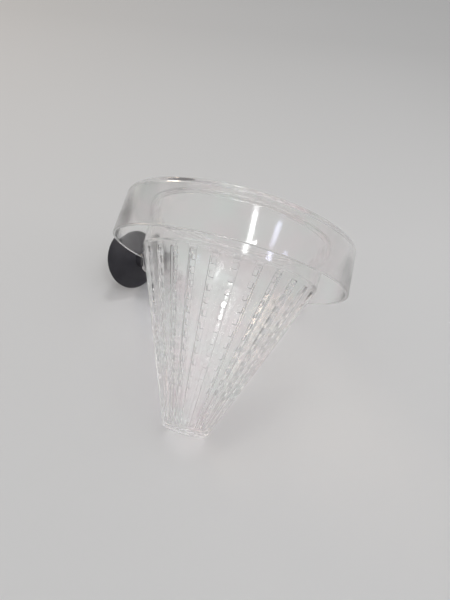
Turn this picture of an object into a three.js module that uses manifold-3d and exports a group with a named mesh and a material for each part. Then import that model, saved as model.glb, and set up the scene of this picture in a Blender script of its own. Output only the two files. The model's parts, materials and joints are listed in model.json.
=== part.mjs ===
// A clear plastic worm feeder for an aquarium: a float ring, a slotted cone that drops into it,
// and a rubber suction cup whose stud snaps through a tab under the ring.
// Millimetres, +Z up. The origin is the centre of the suction cup's sealing plane, and +Y points
// into the glass that the cup holds to. The ring's axis is vertical, in front of the glass.
import * as THREE from "three";
import { mergeVertices } from "three/addons/utils/BufferGeometryUtils.js";
import Module from "manifold-3d";

const wasm = await Module();
wasm.setup();

// ---- driving dimensions ----
const WALL = 1.7; // thickness of the cone
const RING_WALL = 1.2; // thickness of the ring's plate and skirt
const GAP = 0.3; // clearance between pieces that touch on the real object

const RING_BOTTOM_RADIUS = 42.5; // outside of the skirt at its open lower edge
const RING_TOP_RADIUS = 41.7; // the skirt leans in a little towards the top plate
const RING_HEIGHT = 15.5;
const RING_CORNER = 0.9; // rounding of the top outer edge
const MOUTH_RADIUS = 30.7; // inside of the cone's collar at the top

const CONE_TOP_RADIUS = 29.9; // inside of the cone where it meets the collar
const CONE_HALF_ANGLE = THREE.MathUtils.degToRad(22.4);
const CONE_DEPTH = 58; // from the skirt's lower edge down to the tip
const TIP_CORNER = 1.4; // rounding of the blunt tip's outer edge
const LIP_OVERHANG = 1.9; // how far the cone's lip reaches over the top plate
const LIP_THICKNESS = 1.0;

const COLUMNS = 28; // grooves round the cone
const CONE_TURN = THREE.MathUtils.degToRad(4.1); // how the loose cone sits, from a groove facing the glass
const ROWS = 11; // windows in each groove
const ROW_PITCH = 3.8; // measured along the ring's axis
const FIRST_ROW = 3.9; // depth of the first window's centre
const GROOVE_DEPTH = 0.8;
const GROOVE_TOP_WIDTH = 2.3;
const GROOVE_BOTTOM_WIDTH = 1.2;
const GROOVE_START = 1.8; // depth where a groove begins
const GROOVE_END = 55; // depth where a groove runs out
const WINDOW_HEIGHT = 1.9; // along the cone's slope
const WINDOW_SHARE = 0.7; // width of a window as a share of its groove's

const CUP_REACH = 55; // from the ring's axis to the sealing plane
const STUD_RISE = 1; // how far the stud's axis lies above the skirt's lower edge
const CUP_RADIUS = 13.1;
const CUP_FACE = 1.4; // width of the flat sealing rim
const CUP_EDGE = 0.7; // thickness of the cup's thin edge
const CUP_HOLLOW = 3.2; // depth of the hollow behind the sealing plane
const CUP_HOLLOW_SHARE = 0.7; // how far across the rim's radius the hollow stays deep
const CUP_BACK = 6.6; // where the domed back meets the stem
const DOME_START = { inward: 1.6, back: 2.4 }; // how the domed back leaves the thin edge
const DOME_END = { outward: 2.6, forward: 1.4 }; // and how it flares out of the stem
const STEM_RADIUS = 3.7;
const NECK_RADIUS = 2.4;
const STUD_RADIUS = 3.1; // of the head behind the tab
const STUD_HEAD = 1.7; // its length
const STUD_STRAIGHT_SHARE = 0.35; // share of the head's length before its taper
const STUD_END_SHARE = 0.6; // radius of the head's end as a share of its own
const TAB_RADIUS = 6;
const TAB_THICKNESS = 2;
const TAB_RISE = 6; // how far the tab runs up the skirt's wall

const RING_SEGMENTS = 72;
const CUP_SEGMENTS = 32;
const CURVE_STEPS = 5;
const CORNER_STEPS = 3;
const TAB_STEPS = 14; // round the tab's half circle
const CONE_SEGMENTS = 2 * COLUMNS; // each groove lies in one flat facet
const SAME_POINT = 0.0001; // points closer than this are one
const FLATNESS = 0.001; // neighbouring triangles this close to one plane are merged

// ---- helpers ----
const point = (r, z) => new THREE.Vector2(r, z);

// Points of a round corner about (r, z), from one angle to another, in degrees.
function arc(r, z, radius, from, to, steps) {
  return Array.from({ length: steps + 1 }, (_, i) => {
    const a = THREE.MathUtils.degToRad(from + ((to - from) * i) / steps);
    return point(r + radius * Math.cos(a), z + radius * Math.sin(a));
  });
}

// A solid of revolution about +Z, from a profile of (radius, height) points.
function turned(profile, segments, startAngle = 0) {
  return new THREE.LatheGeometry(profile, segments, startAngle).rotateX(Math.PI / 2);
}

// A closed three.js geometry as a manifold solid.
function solid(geometry) {
  const bare = geometry.index ? geometry.toNonIndexed() : geometry.clone();
  for (const name of Object.keys(bare.attributes)) {
    if (name !== "position") bare.deleteAttribute(name);
  }
  const merged = mergeVertices(bare, SAME_POINT);
  return new wasm.Manifold(
    new wasm.Mesh({
      numProp: 3,
      vertProperties: merged.attributes.position.array,
      triVerts: new Uint32Array(merged.index.array),
    }),
  );
}

// A manifold solid as a three.js geometry, with the needless cuts across its flat faces removed.
function geometryOf(made) {
  const mesh = made.asOriginal().simplify(FLATNESS).getMesh();
  const geometry = new THREE.BufferGeometry();
  geometry.setAttribute("position", new THREE.BufferAttribute(mesh.vertProperties, 3));
  geometry.setIndex(new THREE.BufferAttribute(mesh.triVerts, 1));
  return geometry;
}

// ---- float ring: flat top plate, hanging skirt, and the tab that holds the stud ----
function ringProfile() {
  const bore = MOUTH_RADIUS + WALL + GAP;
  const top = RING_HEIGHT;
  return [
    point(bore, top - RING_WALL),
    point(RING_TOP_RADIUS - RING_WALL, top - RING_WALL),
    point(RING_BOTTOM_RADIUS - RING_WALL, 0),
    point(RING_BOTTOM_RADIUS, 0),
    ...arc(RING_TOP_RADIUS - RING_CORNER, top - RING_CORNER, RING_CORNER, 0, 90, CORNER_STEPS),
    point(bore, top),
    point(bore, top - RING_WALL),
  ];
}

// A tongue under the skirt, round at its lower end, in the plane of the skirt's wall.
function tabGeometry() {
  const outline = new THREE.Shape();
  outline.moveTo(TAB_RADIUS, TAB_RISE);
  outline.lineTo(-TAB_RADIUS, TAB_RISE);
  outline.lineTo(-TAB_RADIUS, STUD_RISE);
  outline.absarc(0, STUD_RISE, TAB_RADIUS, Math.PI, 2 * Math.PI, false);
  outline.closePath();
  const tongue = new THREE.ExtrudeGeometry(outline, {
    depth: TAB_THICKNESS,
    bevelEnabled: false,
    curveSegments: TAB_STEPS,
  });
  return tongue.rotateX(Math.PI / 2).translate(0, RING_BOTTOM_RADIUS, 0);
}

function floatRing() {
  const holeRadius = NECK_RADIUS + GAP;
  const hole = new THREE.CylinderGeometry(holeRadius, holeRadius, 3 * TAB_THICKNESS, CUP_SEGMENTS / 2);
  hole.translate(0, RING_BOTTOM_RADIUS - TAB_THICKNESS / 2, STUD_RISE);
  const body = solid(turned(ringProfile(), RING_SEGMENTS)).add(solid(tabGeometry()));
  return geometryOf(body.subtract(solid(hole)));
}

// ---- feeding cone: lip, collar, slotted cone and closed blunt tip ----
const slope = Math.tan(CONE_HALF_ANGLE);
const outerTopRadius = CONE_TOP_RADIUS + WALL / Math.cos(CONE_HALF_ANGLE);
const outerRadius = (depth) => outerTopRadius - depth * slope;
const innerRadius = (depth) => CONE_TOP_RADIUS - depth * slope;

function coneProfile() {
  const lipBottom = RING_HEIGHT + GAP;
  const lipTop = lipBottom + LIP_THICKNESS;
  const collarOuter = MOUTH_RADIUS + WALL;
  const cornerDepth = CONE_DEPTH - TIP_CORNER;
  const cornerAngle = THREE.MathUtils.radToDeg(CONE_HALF_ANGLE);
  const cornerCentre = outerRadius(cornerDepth) - TIP_CORNER / Math.cos(CONE_HALF_ANGLE);
  const floorDepth = CONE_DEPTH - WALL;
  return [
    point(0, -CONE_DEPTH),
    ...arc(cornerCentre, -cornerDepth, TIP_CORNER, -90, -cornerAngle, CORNER_STEPS),
    point(outerTopRadius, 0),
    point(collarOuter, lipBottom),
    point(collarOuter + LIP_OVERHANG, lipBottom),
    point(collarOuter + LIP_OVERHANG, lipTop),
    point(MOUTH_RADIUS, lipTop),
    point(CONE_TOP_RADIUS, 0),
    point(innerRadius(floorDepth), -floorDepth),
    point(0, -floorDepth),
  ];
}

// Where a cut stands on the cone: its own X runs across the facet, its Y up the slope, its Z outwards.
// The facet is flat, so it lies nearer to the axis than the cone's corners do.
function onFacet(geometry, column, depth, out) {
  const apothem = outerRadius(depth) * Math.cos(Math.PI / CONE_SEGMENTS);
  const turn = (column * 2 * Math.PI) / COLUMNS;
  return geometry
    .translate(0, 0, out)
    .rotateX(Math.PI / 2 + CONE_HALF_ANGLE)
    .rotateZ(Math.PI)
    .translate(0, apothem, -depth)
    .rotateZ(turn);
}

function grooveWidth(depth) {
  const share = (depth - GROOVE_START) / (GROOVE_END - GROOVE_START);
  return THREE.MathUtils.lerp(GROOVE_TOP_WIDTH, GROOVE_BOTTOM_WIDTH, share);
}

function grooveCut(column) {
  const length = (GROOVE_END - GROOVE_START) / Math.cos(CONE_HALF_ANGLE);
  const outline = new THREE.Shape();
  outline.moveTo(-GROOVE_TOP_WIDTH / 2, 0);
  outline.lineTo(-GROOVE_BOTTOM_WIDTH / 2, -length);
  outline.lineTo(GROOVE_BOTTOM_WIDTH / 2, -length);
  outline.lineTo(GROOVE_TOP_WIDTH / 2, 0);
  const bar = new THREE.ExtrudeGeometry(outline, { depth: 2 * GROOVE_DEPTH, bevelEnabled: false });
  return solid(onFacet(bar, column, GROOVE_START, -GROOVE_DEPTH));
}

function windowCut(column, row) {
  const depth = FIRST_ROW + row * ROW_PITCH;
  const block = new THREE.BoxGeometry(WINDOW_SHARE * grooveWidth(depth), WINDOW_HEIGHT, 3 * WALL);
  return solid(onFacet(block, column, depth, -WALL));
}

function feedingCone() {
  const halfFacet = Math.PI / CONE_SEGMENTS;
  const shell = solid(turned(coneProfile(), CONE_SEGMENTS, halfFacet));
  const cuts = [];
  for (let column = 0; column < COLUMNS; column += 1) {
    cuts.push(grooveCut(column));
    for (let row = 0; row < ROWS; row += 1) cuts.push(windowCut(column, row));
  }
  return geometryOf(shell.subtract(wasm.Manifold.union(cuts)));
}

// ---- suction cup: thin-edged cup, stem, neck through the tab, and stud head ----
function cupProfile() {
  const hollowRadius = CUP_RADIUS - CUP_FACE;
  const neckStart = CUP_REACH - RING_BOTTOM_RADIUS - GAP;
  const neckEnd = neckStart + TAB_THICKNESS + 2 * GAP;
  const dome = new THREE.CubicBezierCurve(
    point(CUP_RADIUS, CUP_EDGE),
    point(CUP_RADIUS - DOME_START.inward, CUP_EDGE + DOME_START.back),
    point(STEM_RADIUS + DOME_END.outward, CUP_BACK - DOME_END.forward),
    point(STEM_RADIUS, CUP_BACK),
  );
  const hollow = new THREE.QuadraticBezierCurve(
    point(0, CUP_HOLLOW),
    point(CUP_HOLLOW_SHARE * hollowRadius, CUP_HOLLOW),
    point(hollowRadius, 0),
  );
  return [
    ...hollow.getPoints(CURVE_STEPS),
    point(CUP_RADIUS, 0),
    ...dome.getPoints(CURVE_STEPS),
    point(STEM_RADIUS, neckStart),
    point(NECK_RADIUS, neckStart),
    point(NECK_RADIUS, neckEnd),
    point(STUD_RADIUS, neckEnd),
    point(STUD_RADIUS, neckEnd + STUD_STRAIGHT_SHARE * STUD_HEAD),
    point(STUD_END_SHARE * STUD_RADIUS, neckEnd + STUD_HEAD),
    point(0, neckEnd + STUD_HEAD),
  ];
}

function suctionCup() {
  // The profile's heights run from the sealing plane back towards the ring, along -Y.
  return turned(cupProfile(), CUP_SEGMENTS).rotateX(Math.PI / 2);
}

// ---- materials and assembly ----
const clear = { color: 0xeef2f0, roughness: 0.06, metalness: 0, transparent: true, opacity: 0.35 };
const ringPlastic = new THREE.MeshStandardMaterial(clear);
const conePlastic = new THREE.MeshStandardMaterial(clear);
const blackRubber = new THREE.MeshStandardMaterial({ color: 0x2c2a30, roughness: 0.55, metalness: 0 });

function piece(name, geometry, material) {
  const mesh = new THREE.Mesh(geometry, material);
  mesh.name = name;
  return mesh;
}

const floating = new THREE.Group();
floating.position.set(0, -CUP_REACH, -STUD_RISE);
floating.add(piece("float_ring", floatRing(), ringPlastic));

const looseCone = piece("feeding_cone", feedingCone(), conePlastic);
looseCone.rotation.z = CONE_TURN;
floating.add(looseCone);

const feeder = new THREE.Group();
feeder.add(floating);
feeder.add(piece("suction_cup", suctionCup(), blackRubber));

export default feeder;
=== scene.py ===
"""A clear plastic aquarium worm feeder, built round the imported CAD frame.

The float ring, the slotted cone and the suction cup are made here as fine meshes: rounded mouldings, real
grooves and windows, and a soft rubber cup. Lengths are in millimetres in the code that makes the meshes,
and each mesh is turned into metres as it is made. The feeder lies on a pale table, tipped over onto its
cone's tip, its ring's edge and its cup, so the table stands at a slant in the feeder's frame. Lengths on the
table and in the materials are in metres.
"""

import json
import math

import bmesh
import bpy
from mathutils import Matrix, Vector

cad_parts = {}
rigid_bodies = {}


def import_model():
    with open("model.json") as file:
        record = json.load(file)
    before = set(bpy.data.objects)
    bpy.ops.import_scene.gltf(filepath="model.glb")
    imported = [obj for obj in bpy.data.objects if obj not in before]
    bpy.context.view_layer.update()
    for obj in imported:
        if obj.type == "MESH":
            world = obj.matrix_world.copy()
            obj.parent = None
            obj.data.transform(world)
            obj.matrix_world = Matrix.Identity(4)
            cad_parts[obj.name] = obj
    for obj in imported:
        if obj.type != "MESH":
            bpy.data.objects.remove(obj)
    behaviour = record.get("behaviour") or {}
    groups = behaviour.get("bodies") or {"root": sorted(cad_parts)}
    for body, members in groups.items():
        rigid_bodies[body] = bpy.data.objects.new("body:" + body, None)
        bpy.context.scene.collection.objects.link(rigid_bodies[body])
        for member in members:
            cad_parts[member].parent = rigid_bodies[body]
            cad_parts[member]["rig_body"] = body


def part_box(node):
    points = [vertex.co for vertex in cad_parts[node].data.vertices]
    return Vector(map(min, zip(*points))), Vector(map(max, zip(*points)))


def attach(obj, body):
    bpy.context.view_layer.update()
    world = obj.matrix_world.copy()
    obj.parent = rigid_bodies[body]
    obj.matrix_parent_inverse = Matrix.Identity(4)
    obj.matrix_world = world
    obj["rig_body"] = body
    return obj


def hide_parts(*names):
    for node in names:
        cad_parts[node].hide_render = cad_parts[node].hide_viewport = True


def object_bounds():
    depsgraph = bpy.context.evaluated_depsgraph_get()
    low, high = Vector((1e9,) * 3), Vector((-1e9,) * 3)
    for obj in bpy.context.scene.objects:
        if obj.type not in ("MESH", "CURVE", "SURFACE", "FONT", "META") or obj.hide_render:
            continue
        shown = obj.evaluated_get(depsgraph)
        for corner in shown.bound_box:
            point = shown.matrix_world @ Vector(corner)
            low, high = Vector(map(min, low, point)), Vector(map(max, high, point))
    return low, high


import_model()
cad_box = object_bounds()

MM = 0.001

# ---- sizes read from the frame, in millimetres ----
ring_low, ring_high = (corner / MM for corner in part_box("float_ring"))
cone_low, cone_high = (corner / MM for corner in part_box("feeding_cone"))
cup_low, cup_high = (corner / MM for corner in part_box("suction_cup"))

AXIS_Y = (ring_low.y + ring_high.y) / 2  # the ring's axis stands at x = 0
RING_RADIUS = (ring_high.x - ring_low.x) / 2
RING_TOP = ring_high.z
SKIRT_EDGE = -1.0  # the skirt's lower edge, a little below the stud's axis; the tab reaches lower
RING_HEIGHT = RING_TOP - SKIRT_EDGE
LIP_RADIUS = (cone_high.x - cone_low.x) / 2
LIP_TOP = cone_high.z - SKIRT_EDGE
CONE_DEPTH = SKIRT_EDGE - cone_low.z
CUP_RADIUS = (cup_high.x - cup_low.x) / 2
CUP_LENGTH = cup_high.y - cup_low.y

# ---- float ring, in millimetres ----
RING_WALL = 1.2
SKIRT_LEAN = 0.8  # how much the skirt narrows from its edge up to the plate
BORE_RADIUS = 32.7
TAB_RADIUS = 6.0
TAB_THICKNESS = 2.0
TAB_RISE = 6.0  # how far the tab reaches up inside the skirt
TAB_STEPS = 32
TAB_EDGE = 0.3  # softening of the tab's edges
STUD_HOLE = 2.7  # radius
STUD_HOLE_REACH = 4  # the cutter's length on each side of the tab's middle
STUD_HOLE_SEGMENTS = 48
RING_SEGMENTS = 240
RING_SHARP = 32  # degrees

# ---- feeding cone, in millimetres ----
WALL = 1.7
MOUTH_RADIUS = 30.7
CONE_TOP_RADIUS = 29.9
CONE_HALF_ANGLE = math.radians(22.4)
SLOPE = math.tan(CONE_HALF_ANGLE)
LIP_THICKNESS = 1.0
TIP_CORNER = 1.4
COLUMNS = 28
CONE_TURN = math.radians(4.1)  # how the loose cone sits, from a groove facing the glass
ROWS = 11
ROW_PITCH = 3.8
FIRST_ROW = 3.9
GROOVE_DEPTH = 0.8
GROOVE_TOP_WIDTH = 2.3
GROOVE_BOTTOM_WIDTH = 1.2
GROOVE_START = 1.8
GROOVE_END = 55.0
WINDOW_HEIGHT = 1.9
WINDOW_SHARE = 0.7  # a window's width as a share of its groove's
LOWER_ROW_PITCH = 3.1  # rows of points between the last windows and the grooves' lower end
LAND_STEPS = 4  # strips in each half of the land between two grooves
EDGE_ROUND = 0.1
EDGE_TURN = 50  # an edge that turns by more than this many degrees is rounded
CONE_SHARP = 32  # degrees

# ---- suction cup, in millimetres ----
CUP_FACE = 1.4  # width of the flat rim
CUP_EDGE = 0.7
CUP_HOLLOW = 3.2  # depth of the hollow
CUP_BACK = 6.6  # where the domed back meets the stem
STEM_RADIUS = 3.7
NECK_RADIUS = 2.4
STUD_RADIUS = 3.1
STUD_STRAIGHT = 0.6  # straight part of the stud's head
STUD_END_SHARE = 0.6  # the head's end, as a share of its radius
NECK_START = 12.2
NECK_END = 14.8
CUP_SEGMENTS = 96
CUP_SHARP = 40  # degrees

# ---- how it lies, and where the camera stands ----
TABLE_UP = Vector((-0.7237, -0.4600, 0.5144)).normalized()
VIEW_AZIMUTH = math.radians(50.5)  # turned round the ring's axis from looking along +Y
CAMERA_NEAR = 159.1  # millimetres from the ring's axis, in the skirt edge's plane
CAMERA_ASIDE = 1.4
CAMERA_BELOW = 31.7
CAMERA_PITCH = math.radians(7.54)
CAMERA_ROLL = math.radians(15.4)
LENS = 27.0
SENSOR_WIDTH = 36
NEAREST_SEEN = 0.001
TABLE_HALF = 4.0
# painted shade on the table: its colour darkens from the start to the end distance, down to the far share,
# standing in for light falling off farther back
PAINTED_SHADE_START = 0.08  # metres behind the feeder where the painted shade starts to darken the table's colour
PAINTED_SHADE_END = 0.33
PAINTED_SHADE_FAR_SHARE = 0.82
LAMP_DISTANCE = 0.6
ROOM_BRIGHTNESS = 0.68
LIGHT_BOUNCES = 32  # light runs a long way inside clear plastic

# ---- colours and finishes ----
WHITE = (1, 1, 1)
PALE_BLUE = (0.72, 0.76, 1)
PALE_ORANGE = (1, 0.80, 0.62)
WARM_TINT = (1.0, 0.968, 0.975, 1)
COOL_TINT = (0.978, 1.0, 0.988, 1)
PLASTIC_SHADOW = (0.93, 0.925, 0.93, 1)
PLASTIC_IOR = 1.49
DARK_RUBBER = (0.013, 0.012, 0.017, 1)
DUSTY_RUBBER = (0.026, 0.024, 0.031, 1)
RING_HAZE = (0.04, 0.10)  # least and most roughness
CONE_HAZE = (0.04, 0.09)
TEXTURED_HAZE = (0.12, 0.20)
SATIN = (0.42, 0.58)
GLOSSY = (0.12, 0.22)


# ---- making meshes ----
def mesh_object(name, points, faces):
    """A mesh object from points in millimetres, with its faces turned outwards."""
    mesh = bpy.data.meshes.new(name)
    mesh.from_pydata([Vector(p) * MM for p in points], [], faces)
    made = bmesh.new()
    made.from_mesh(mesh)
    bmesh.ops.recalc_face_normals(made, faces=made.faces)
    made.to_mesh(mesh)
    made.free()
    obj = bpy.data.objects.new(name, mesh)
    bpy.context.scene.collection.objects.link(obj)
    return obj


def soften(obj, sharp_degrees):
    """Smooth shading, apart from edges sharper than this."""
    obj.data.shade_smooth()
    obj.data.set_sharp_from_angle(angle=math.radians(sharp_degrees))


def settle(obj):
    """Applies an object's modifiers to its mesh."""
    evaluated = obj.evaluated_get(bpy.context.evaluated_depsgraph_get())
    mesh = bpy.data.meshes.new_from_object(evaluated)
    obj.modifiers.clear()
    obj.data = mesh


def rounded(outline, steps=5):
    """A closed outline of (r, z, radius) corners, each corner turned into an arc of its radius."""
    path = []
    for i, (r, z, radius) in enumerate(outline):
        corner = Vector((r, z))
        before = Vector(outline[i - 1][:2]) - corner
        after = Vector(outline[(i + 1) % len(outline)][:2]) - corner
        if radius == 0:
            path.append(corner)
            continue
        before.normalize()
        after.normalize()
        half = before.angle(after) / 2
        centre = corner + (before + after).normalized() * (radius / math.sin(half))
        start = corner + before * (radius / math.tan(half)) - centre
        end = corner + after * (radius / math.tan(half)) - centre
        turn = math.pi - 2 * half
        for step in range(steps + 1):
            share = step / steps
            spoke = start * math.sin((1 - share) * turn) + end * math.sin(share * turn)
            path.append(centre + spoke / math.sin(turn))
    return path


def lathe(path, segments):
    """Points and faces of a closed path of (r, z) turned about +Z. A point on the axis becomes one pole."""
    points, rings, faces = [], [], []
    for r, z in path:
        if r < 1e-6:
            rings.append([len(points)] * segments)
            points.append((0, 0, z))
            continue
        rings.append(list(range(len(points), len(points) + segments)))
        for i in range(segments):
            angle = 2 * math.pi * i / segments
            points.append((r * math.cos(angle), r * math.sin(angle), z))
    for one, other in zip(rings, rings[1:] + rings[:1]):
        for i in range(segments):
            j = (i + 1) % segments
            corners = list(dict.fromkeys((one[i], one[j], other[j], other[i])))
            if len(corners) > 2:
                faces.append(corners)
    return points, faces


def about_ring_axis(points):
    """Moves points from the ring's axis and the skirt's edge to their place in the feeder's frame."""
    return [(x, y + AXIS_Y, z + SKIRT_EDGE) for x, y, z in points]


# ---- float ring ----
def ring_path():
    """The ring's section: a plate, a skirt that leans in a little, and the channel between them."""
    plate = RING_HEIGHT - RING_WALL
    top_radius = RING_RADIUS - SKIRT_LEAN
    return rounded([
        (BORE_RADIUS, plate, 0.3),
        (top_radius - RING_WALL, plate, 0.5),
        (RING_RADIUS - RING_WALL, 0, 0.35),
        (RING_RADIUS, 0, 0.35),
        (top_radius, RING_HEIGHT, 0.9),
        (BORE_RADIUS, RING_HEIGHT, 0.3),
    ])


def stud_tab():
    """The tongue below the skirt, round at its lower end, with softened edges."""
    outline = [(TAB_RADIUS, TAB_RISE), (-TAB_RADIUS, TAB_RISE)]
    for step in range(TAB_STEPS + 1):
        angle = math.pi + math.pi * step / TAB_STEPS
        outline.append((TAB_RADIUS * math.cos(angle), TAB_RADIUS * math.sin(angle) - SKIRT_EDGE))
    front = RING_RADIUS + AXIS_Y
    points = [(x, front - back, z + SKIRT_EDGE) for back in (0, TAB_THICKNESS) for x, z in outline]
    count = len(outline)
    faces = [list(range(count)), list(range(count, 2 * count))]
    faces += [[i, (i + 1) % count, count + (i + 1) % count, count + i] for i in range(count)]
    tab = mesh_object("stud_tab", points, faces)
    made = bmesh.new()
    made.from_mesh(tab.data)
    edges = [e for e in made.edges if e.calc_face_angle() > math.radians(60)]
    bmesh.ops.bevel(made, geom=edges, offset=TAB_EDGE * MM, segments=3, profile=0.5, affect="EDGES")
    made.to_mesh(tab.data)
    made.free()
    return tab


def stud_hole():
    """The round cutter that opens the tab for the stud's neck."""
    reach = STUD_HOLE_REACH
    path = [Vector((0, reach)), Vector((STUD_HOLE, reach)), Vector((STUD_HOLE, -reach)), Vector((0, -reach))]
    points, faces = lathe(path, STUD_HOLE_SEGMENTS)
    middle = RING_RADIUS + AXIS_Y - TAB_THICKNESS / 2
    return mesh_object("stud_hole", [(x, middle + z, y) for x, y, z in points], faces)


def float_ring():
    points, faces = lathe(ring_path(), RING_SEGMENTS)
    ring = mesh_object("clear_float_ring", about_ring_axis(points), faces)
    cutters = [(stud_tab(), "UNION"), (stud_hole(), "DIFFERENCE")]
    for tool, operation in cutters:
        joint = ring.modifiers.new(tool.name, "BOOLEAN")
        joint.object = tool
        joint.operation = operation
        joint.solver = "EXACT"
    settle(ring)
    for tool, _ in cutters:
        bpy.data.objects.remove(tool)
    soften(ring, RING_SHARP)
    return ring


# ---- feeding cone ----
def outer_radius(depth):
    return CONE_TOP_RADIUS + WALL / math.cos(CONE_HALF_ANGLE) - depth * SLOPE


def inner_radius(depth):
    return CONE_TOP_RADIUS - depth * SLOPE


def floor_radius(depth):
    return outer_radius(depth) - GROOVE_DEPTH / math.cos(CONE_HALF_ANGLE)


LEVELS = {"outer": outer_radius, "floor": floor_radius, "inner": inner_radius}


def groove_width(depth):
    share = (depth - GROOVE_START) / (GROOVE_END - GROOVE_START)
    return GROOVE_TOP_WIDTH + share * (GROOVE_BOTTOM_WIDTH - GROOVE_TOP_WIDTH)


def slotted_depths():
    """Depths of the rows of points: the grooves' ends, and each window's upper and lower edge."""
    half = WINDOW_HEIGHT / 2 * math.cos(CONE_HALF_ANGLE)
    middles = [FIRST_ROW + ROW_PITCH * row for row in range(ROWS)]
    edges = [middle + side * half for middle in middles for side in (-1, 1)]
    return [GROOVE_START, *edges, *(edges[-1] + LOWER_ROW_PITCH * i for i in (1, 2, 3)), GROOVE_END]


def sector_lines(depth):
    """Angles of the lines across one sector, from the middle of one land to the middle of the next."""
    half = math.pi / COLUMNS
    groove = groove_width(depth) / 2 / outer_radius(depth)
    land = [half + (groove - half) * step / LAND_STEPS for step in range(LAND_STEPS + 1)]
    window = WINDOW_SHARE * groove
    return [-a for a in land] + [-window, window] + land[:0:-1]


def strip_kinds():
    land = ["land"] * LAND_STEPS
    return land + ["groove", "window", "groove"] + land


class ConeMesh:
    """Collects the cone's points and faces. A point is shared by all faces that name it alike."""

    def __init__(self):
        self.points = []
        self.faces = []
        self.found = {}

    def place(self, key, angle, radius, height):
        if key not in self.found:
            self.found[key] = len(self.points)
            self.points.append((-radius * math.sin(angle), radius * math.cos(angle), height))
        return self.found[key]

    def face(self, corners):
        corners = list(dict.fromkeys(corners))
        if len(corners) > 2:
            self.faces.append(corners)


def feeding_cone():
    depths = slotted_depths()
    kinds = strip_kinds() * COLUMNS
    count = len(kinds)
    cone = ConeMesh()

    def angle_of(row, line):
        sector, step = divmod(line % count, len(strip_kinds()))
        return CONE_TURN + 2 * math.pi * sector / COLUMNS + sector_lines(depths[row])[step]

    def on(level, row, line):
        """A point of the slotted stretch."""
        key = (level, row, line % count)
        return cone.place(key, angle_of(row, line), LEVELS[level](depths[row]), -depths[row])

    def open_at(row, line):
        in_window = 0 <= row < len(depths) - 1 and row % 2 == 1 and row < 2 * ROWS
        return in_window and kinds[line % count] == "window"

    def level_at(row, line):
        """Where the outer skin lies in one cell; where a window goes through, it lies at the inner level."""
        if row < 0 or row >= len(depths) - 1:
            return "outer"
        if open_at(row, line):
            return "inner"
        return "outer" if kinds[line % count] == "land" else "floor"

    for row in range(len(depths) - 1):
        for line in range(count):
            skin = level_at(row, line)
            if not open_at(row, line):
                for level in (skin, "inner"):
                    cone.face([on(level, row, line), on(level, row, line + 1),
                               on(level, row + 1, line + 1), on(level, row + 1, line)])
            beside = level_at(row, line - 1)
            if beside != skin:
                cone.face([on(skin, row, line), on(skin, row + 1, line),
                           on(beside, row + 1, line), on(beside, row, line)])
    for row in range(len(depths)):
        for line in range(count):
            above, below = level_at(row - 1, line), level_at(row, line)
            if above != below:
                cone.face([on(above, row, line), on(above, row, line + 1),
                           on(below, row, line + 1), on(below, row, line)])

    def sheet(name, row, start, path, end):
        """A turned sheet from one slotted edge, along a path of (r, z), to another edge or a pole."""
        def at(step, line):
            if step == 0:
                return on(start, row, line)
            if step == len(path) + 1:
                return on(end, row, line)
            r, z = path[step - 1]
            key = (name, step, line % count if r > 0 else 0)
            return cone.place(key, angle_of(row, line), r, z)
        for step in range(len(path) + (1 if end else 0)):
            for line in range(count):
                cone.face([at(step, line), at(step, line + 1), at(step + 1, line + 1), at(step + 1, line)])

    last = len(depths) - 1
    sheet("collar", 0, "outer", collar_path(), "inner")
    sheet("tip", last, "outer", tip_path(), None)
    sheet("bottom", last, "inner", bottom_path(), None)
    made = mesh_object("clear_feeding_cone", about_ring_axis(cone.points), cone.faces)
    round_edges(made)
    soften(made, CONE_SHARP)
    return made


def collar_path():
    """From the cone's outer top edge up the collar, round the lip and down inside."""
    outside = MOUTH_RADIUS + WALL
    under = LIP_TOP - LIP_THICKNESS
    corners = rounded([
        (outer_radius(0), 0, 0.6),
        (outside, under, 0.25),
        (LIP_RADIUS, under, 0.25),
        (LIP_RADIUS, LIP_TOP, 0.45),
        (MOUTH_RADIUS, LIP_TOP, 0.5),
        (CONE_TOP_RADIUS, 0, 1.5),
        (inner_radius(GROOVE_START), -GROOVE_START, 0),
        (outer_radius(GROOVE_START), -GROOVE_START, 0),
    ], steps=4)
    return [tuple(p) for p in corners[:-2]]


def tip_path():
    """From the grooves' lower end round the blunt tip's corner to the middle of its flat end."""
    low = (outer_radius(GROOVE_END), -GROOVE_END, 0)
    corner = (outer_radius(CONE_DEPTH), -CONE_DEPTH, TIP_CORNER)
    path = rounded([low, corner, (0, -CONE_DEPTH, 0)], steps=6)[1:]
    return [tuple(p) for p in path]


def bottom_path():
    """From the grooves' lower end, inside, to the middle of the tip's floor."""
    depth = CONE_DEPTH - WALL
    path = rounded([(inner_radius(GROOVE_END), -GROOVE_END, 0), (inner_radius(depth), -depth, 0.8),
                    (0, -depth, 0)], steps=4)[1:]
    return [tuple(p) for p in path]


def round_edges(obj):
    """Takes the knife edge off every groove and window."""
    made = bmesh.new()
    made.from_mesh(obj.data)
    turn = math.radians(EDGE_TURN)
    edges = [e for e in made.edges if len(e.link_faces) == 2 and e.calc_face_angle() > turn]
    bmesh.ops.bevel(made, geom=edges, offset=EDGE_ROUND * MM, segments=2, profile=0.5,
                    affect="EDGES", clamp_overlap=True)
    made.to_mesh(obj.data)
    made.free()


# ---- suction cup ----
def bezier(a, b, c, d, steps):
    """Points along a cubic curve, its two ends included."""
    path = []
    for step in range(steps + 1):
        t = step / steps
        s = 1 - t
        first = Vector(a) * s**3 + Vector(b) * 3 * s * s * t
        path.append(first + Vector(c) * 3 * s * t * t + Vector(d) * t**3)
    return path


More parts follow.
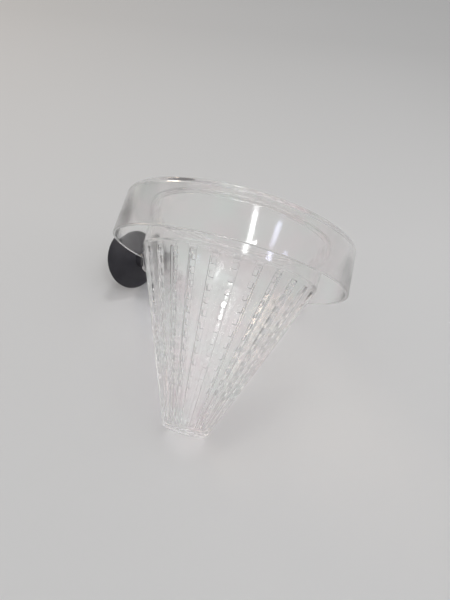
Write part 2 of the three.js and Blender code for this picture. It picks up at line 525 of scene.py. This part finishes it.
def cup_path():
    """(radius, distance behind the sealing plane), from the hollow's centre round to the stud's end."""
    rim = CUP_RADIUS - CUP_FACE
    hollow = bezier((0, CUP_HOLLOW), (0.55 * rim, CUP_HOLLOW), (0.85 * rim, 0.9), (rim, 0.12), 16)
    edge = [Vector((rim + 0.35, 0)), Vector((CUP_RADIUS - 0.3, 0)), Vector((CUP_RADIUS - 0.08, 0.1)),
            Vector((CUP_RADIUS, 0.35)), Vector((CUP_RADIUS, CUP_EDGE))]
    dome = bezier((CUP_RADIUS - 0.05, CUP_EDGE + 0.1), (CUP_RADIUS - 1.6, CUP_EDGE + 2.4),
                  (STEM_RADIUS + 2.6, CUP_BACK - 1.4), (STEM_RADIUS, CUP_BACK), 20)
    stud = rounded([
        (STEM_RADIUS, CUP_BACK, 0),
        (STEM_RADIUS, NECK_START, 0.4),
        (NECK_RADIUS, NECK_START, 0.15),
        (NECK_RADIUS, NECK_END, 0.15),
        (STUD_RADIUS, NECK_END, 0.35),
        (STUD_RADIUS, NECK_END + STUD_STRAIGHT, 0.3),
        (STUD_END_SHARE * STUD_RADIUS, CUP_LENGTH, 0.4),
        (0, CUP_LENGTH, 0),
    ], steps=4)[1:]
    return hollow + edge + dome + stud


def suction_cup():
    points, faces = lathe(cup_path(), CUP_SEGMENTS)
    cup = mesh_object("rubber_suction_cup", [(x, -z, y) for x, y, z in points], faces)
    soften(cup, CUP_SHARP)
    return cup


# ---- materials ----
def shader_tree(name):
    material = bpy.data.materials.new(name)
    material.use_nodes = True
    tree = material.node_tree
    return material, tree, tree.nodes["Principled BSDF"], tree.nodes["Material Output"]


def noise(tree, scale, detail, roughness=0.5):
    """Noise in the object's own metres."""
    place = tree.nodes.new("ShaderNodeTexCoord")
    pattern = tree.nodes.new("ShaderNodeTexNoise")
    pattern.inputs["Scale"].default_value = scale
    pattern.inputs["Detail"].default_value = detail
    pattern.inputs["Roughness"].default_value = roughness
    tree.links.new(place.outputs["Object"], pattern.inputs["Vector"])
    return pattern.outputs["Fac"]


def ramp(tree, value, stops):
    """Colours or greys between stops of (position, colour)."""
    node = tree.nodes.new("ShaderNodeValToRGB")
    elements = node.color_ramp.elements
    elements[0].position, elements[0].color = stops[0]
    elements[1].position, elements[1].color = stops[-1]
    for position, colour in stops[1:-1]:
        elements.new(position).color = colour
    tree.links.new(value, node.inputs["Fac"])
    return node.outputs["Color"]


def grey(value):
    return (value, value, value, 1)


def bump(tree, height, strength, distance):
    node = tree.nodes.new("ShaderNodeBump")
    node.inputs["Strength"].default_value = strength
    node.inputs["Distance"].default_value = distance
    tree.links.new(height, node.inputs["Height"])
    return node.outputs["Normal"]


def see_through(tree, shader, output, where, colour):
    """Turns the shader transparent where the value is 1, and lets light through in a colour there."""
    clear = tree.nodes.new("ShaderNodeBsdfTransparent")
    clear.inputs["Color"].default_value = colour
    mix = tree.nodes.new("ShaderNodeMixShader")
    tree.links.new(where, mix.inputs["Fac"])
    tree.links.new(shader.outputs[0], mix.inputs[1])
    tree.links.new(clear.outputs[0], mix.inputs[2])
    tree.links.new(mix.outputs[0], output.inputs["Surface"])


def dot(tree, vector, direction):
    """How far a vector runs along a fixed direction."""
    node = tree.nodes.new("ShaderNodeVectorMath")
    node.operation = "DOT_PRODUCT"
    node.inputs[1].default_value = direction
    tree.links.new(vector, node.inputs[0])
    return node.outputs["Value"]


def multiply(tree, one, other):
    node = tree.nodes.new("ShaderNodeMix")
    node.data_type = "RGBA"
    node.blend_type = "MULTIPLY"
    node.inputs["Factor"].default_value = 1
    tree.links.new(one, node.inputs["A"])
    tree.links.new(other, node.inputs["B"])
    return node.outputs["Result"]


def clear_plastic(name, haze_range):
    """Clear moulded plastic: nearly colourless, with a faint drift of tint, a slight haze and soft waves.
    Rays on their way to a lamp pass through it, so that it throws only a faint shadow."""
    least, most = haze_range
    material, tree, shader, output = shader_tree(name)
    shader.inputs["Transmission Weight"].default_value = 1.0
    shader.inputs["IOR"].default_value = PLASTIC_IOR
    tint = ramp(tree, noise(tree, 80, 3), [(0.35, WARM_TINT), (0.65, COOL_TINT)])
    tree.links.new(tint, shader.inputs["Base Color"])
    haze = ramp(tree, noise(tree, 160, 4, 0.6), [(0.3, grey(least)), (0.75, grey(most))])
    tree.links.new(haze, shader.inputs["Roughness"])
    tree.links.new(bump(tree, noise(tree, 90, 1), 0.3, 0.0002), shader.inputs["Normal"])
    path = tree.nodes.new("ShaderNodeLightPath")
    see_through(tree, shader, output, path.outputs["Is Shadow Ray"], PLASTIC_SHADOW)
    return material


def black_rubber(name, roughness):
    """Soft black rubber, faintly mottled, with a fine grain, between a least and a most roughness."""
    least, most = roughness
    material, tree, shader, _ = shader_tree(name)
    mottle = ramp(tree, noise(tree, 220, 5, 0.6), [(0.3, DARK_RUBBER), (0.7, DUSTY_RUBBER)])
    tree.links.new(mottle, shader.inputs["Base Color"])
    sheen = ramp(tree, noise(tree, 130, 3), [(0.3, grey(least)), (0.7, grey(most))])
    tree.links.new(sheen, shader.inputs["Roughness"])
    tree.links.new(bump(tree, noise(tree, 2600, 2), 0.35, 0.00006), shader.inputs["Normal"])
    return material


def texture_outside(obj, textured):
    """Gives the outside of the slotted cone a fine texture. The collar and the inside stay polished."""
    obj.data.materials.append(textured)
    for face in obj.data.polygons:
        x, y, z = (c / MM for c in face.center)
        depth = SKIRT_EDGE - z
        outside = math.hypot(x, y - AXIS_Y) > inner_radius(depth) + EDGE_ROUND
        if depth > 0 and (outside or depth > CONE_DEPTH - WALL / 2):
            face.material_index = 1


def polish_face(obj, polished):
    """Gives the cup's hollow the glossy skin that grips glass. The back keeps its satin finish."""
    obj.data.materials.append(polished)
    for face in obj.data.polygons:
        x, y, z = (c / MM for c in face.center)
        if face.normal.y > 0 and y > -CUP_HOLLOW - EDGE_ROUND and math.hypot(x, z) < CUP_RADIUS - CUP_FACE:
            face.material_index = 1


def dress(obj, material, body, node):
    """Gives a piece its material and the body that it rides on, and hides the CAD node that it stands for.
    """
    obj.data.materials.clear()
    obj.data.materials.append(material)
    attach(obj, body)
    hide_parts(node)


# ---- table, world, lights and camera ----
def table_frame():
    """The table's own axes: away from the camera, to its right, and up, with the lowest point on it."""
    away = view_rotation() @ Vector((0, 0, -1))
    away = (away - away.dot(TABLE_UP) * TABLE_UP).normalized()
    right = away.cross(TABLE_UP)
    shown = [o for o in bpy.data.objects if o.type == "MESH" and not o.hide_render and "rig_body" in o]
    lowest = min((o.matrix_world @ v.co).dot(TABLE_UP) for o in shown for v in o.data.vertices)
    middle = (cad_box[0] + cad_box[1]) / 2
    origin = middle + (lowest - middle.dot(TABLE_UP)) * TABLE_UP
    return origin, away, right


def view_rotation():
    """The camera's rotation: level and looking along +Y, then rolled, pitched up and turned."""
    level = Matrix.Rotation(math.pi / 2, 4, "X")
    roll = Matrix.Rotation(CAMERA_ROLL, 4, "Z")
    pitch = Matrix.Rotation(CAMERA_PITCH, 4, "X")
    turn = Matrix.Rotation(-VIEW_AZIMUTH, 4, "Z")
    return turn @ pitch @ level @ roll


def add_camera():
    data = bpy.data.cameras.new("camera")
    data.lens = LENS
    data.sensor_width = SENSOR_WIDTH
    data.clip_start = NEAREST_SEEN
    camera = bpy.data.objects.new("camera", data)
    bpy.context.scene.collection.objects.link(camera)
    near = Vector((-math.sin(VIEW_AZIMUTH), -math.cos(VIEW_AZIMUTH), 0))
    aside = Vector((math.cos(VIEW_AZIMUTH), -math.sin(VIEW_AZIMUTH), 0))
    place = near * CAMERA_NEAR + aside * CAMERA_ASIDE + Vector((0, AXIS_Y, SKIRT_EDGE - CAMERA_BELOW))
    camera.matrix_world = Matrix.Translation(place * MM) @ view_rotation()
    bpy.context.scene.camera = camera


def pale_table():
    """A seamless pale table, seen only from its upper side so that it never hides the feeder from below."""
    half = TABLE_HALF
    sides = ((-half, -half), (-half, half), (half, half), (half, -half))
    corners = [table_origin + table_away * a + table_right * b for a, b in sides]
    mesh = bpy.data.meshes.new("table")
    mesh.from_pydata(corners, [], [(0, 1, 2, 3)])
    table = bpy.data.objects.new("table", mesh)
    bpy.context.scene.collection.objects.link(table)
    if mesh.polygons[0].normal.dot(TABLE_UP) < 0:
        mesh.flip_normals()
    material, tree, shader, output = shader_tree("pale_table")
    colour = ramp(tree, noise(tree, 3, 2), [(0.3, grey(0.70)), (0.7, grey(0.73))])
    place = tree.nodes.new("ShaderNodeNewGeometry")
    # painted shade: the table's colour darkens farther away from the camera, standing in for the light
    # falling off there
    painted_shade = tree.nodes.new("ShaderNodeMapRange")
    painted_shade.inputs["From Min"].default_value = table_origin.dot(table_away) + PAINTED_SHADE_START
    painted_shade.inputs["From Max"].default_value = table_origin.dot(table_away) + PAINTED_SHADE_END
    painted_shade.inputs["To Min"].default_value = 1
    painted_shade.inputs["To Max"].default_value = PAINTED_SHADE_FAR_SHARE
    tree.links.new(dot(tree, place.outputs["Position"], table_away), painted_shade.inputs["Value"])
    painted_shade_colour = multiply(tree, colour, painted_shade.outputs["Result"])
    tree.links.new(painted_shade_colour, shader.inputs["Base Color"])
    shader.inputs["Roughness"].default_value = 0.75
    tree.links.new(bump(tree, noise(tree, 900, 3), 0.05, 0.0001), shader.inputs["Normal"])
    see_through(tree, shader, output, place.outputs["Backfacing"], grey(1))
    mesh.materials.append(material)


def lamp(name, toward, along, size, glow, colour):
    """A flat lamp facing the feeder. toward and along are (away, right, up) directions on the table: where
    it stands, and which way the first of its two sizes runs. glow is its brightness."""
    data = bpy.data.lights.new(name, "AREA")
    data.shape = "ELLIPSE"
    data.size, data.size_y = size
    data.energy = glow * math.pi * size[0] * size[1]
    data.color = colour
    obj = bpy.data.objects.new(name, data)
    bpy.context.scene.collection.objects.link(obj)
    back = on_table(toward).normalized()
    side = on_table(along)
    side = (side - side.dot(back) * back).normalized()
    turn = Matrix((side, back.cross(side), back)).transposed().to_4x4()
    obj.matrix_world = Matrix.Translation(table_origin + back * LAMP_DISTANCE) @ turn


def on_table(direction):
    """A direction given as (away, right, up) on the table, in the feeder's frame."""
    return table_away * direction[0] + table_right * direction[1] + TABLE_UP * direction[2]


def soft_world():
    """A pale room: bright overhead, greyer towards the table's level and darker above the near side."""
    world = bpy.data.worlds.new("room")
    bpy.context.scene.world = world
    world.use_nodes = True
    tree = world.node_tree
    background = tree.nodes["Background"]
    place = tree.nodes.new("ShaderNodeTexCoord")
    shift = tree.nodes.new("ShaderNodeMapRange")
    shift.inputs["From Min"].default_value = -1
    tree.links.new(dot(tree, place.outputs["Generated"], TABLE_UP), shift.inputs["Value"])
    stops = [(0.0, grey(0.80)), (0.5, grey(0.68)), (0.62, grey(0.80)), (1.0, grey(0.95))]
    room = ramp(tree, shift.outputs[0], stops)
    near_side = dot(tree, place.outputs["Generated"], on_table((-0.63, 0, 0.78)))
    shade = ramp(tree, near_side, [(0.86, grey(1)), (0.97, grey(0.5))])
    tree.links.new(multiply(tree, room, shade), background.inputs["Color"])
    background.inputs["Strength"].default_value = ROOM_BRIGHTNESS


# ---- the feeder ----
ring = float_ring()
cone = feeding_cone()
cup = suction_cup()
dress(ring, clear_plastic("clear_ring", RING_HAZE), "float_ring", "float_ring")
dress(cone, clear_plastic("clear_cone", CONE_HAZE), "feeding_cone", "feeding_cone")
texture_outside(cone, clear_plastic("textured_cone", TEXTURED_HAZE))
dress(cup, black_rubber("satin_rubber", SATIN), "suction_cup", "suction_cup")
polish_face(cup, black_rubber("glossy_rubber", GLOSSY))

# ---- the room ----
table_origin, table_away, table_right = table_frame()
add_camera()
pale_table()
soft_world()
lamp("ceiling_lamp", (0.365, 0.03, 0.93), (1, 0, 0), size=(0.05, 0.10), glow=24, colour=WHITE)
lamp("near_lamp", (-0.355, 0.25, 0.90), (0.09, 0.14, 0), size=(0.11, 0.035), glow=26, colour=WHITE)
lamp("cool_lamp", (-0.29, 0.68, 0.68), (0.06, -0.03, 0.05), size=(0.06, 0.06), glow=6, colour=PALE_BLUE)
lamp("warm_lamp", (0.65, -0.58, 0.49), (1, 0, 0), size=(0.10, 0.10), glow=8, colour=PALE_ORANGE)

scene = bpy.context.scene
scene.view_settings.view_transform = "Standard"
for kind in ("max_bounces", "transmission_bounces", "glossy_bounces", "transparent_max_bounces"):
    setattr(scene.cycles, kind, LIGHT_BOUNCES)
scene.cycles.caustics_reflective = False
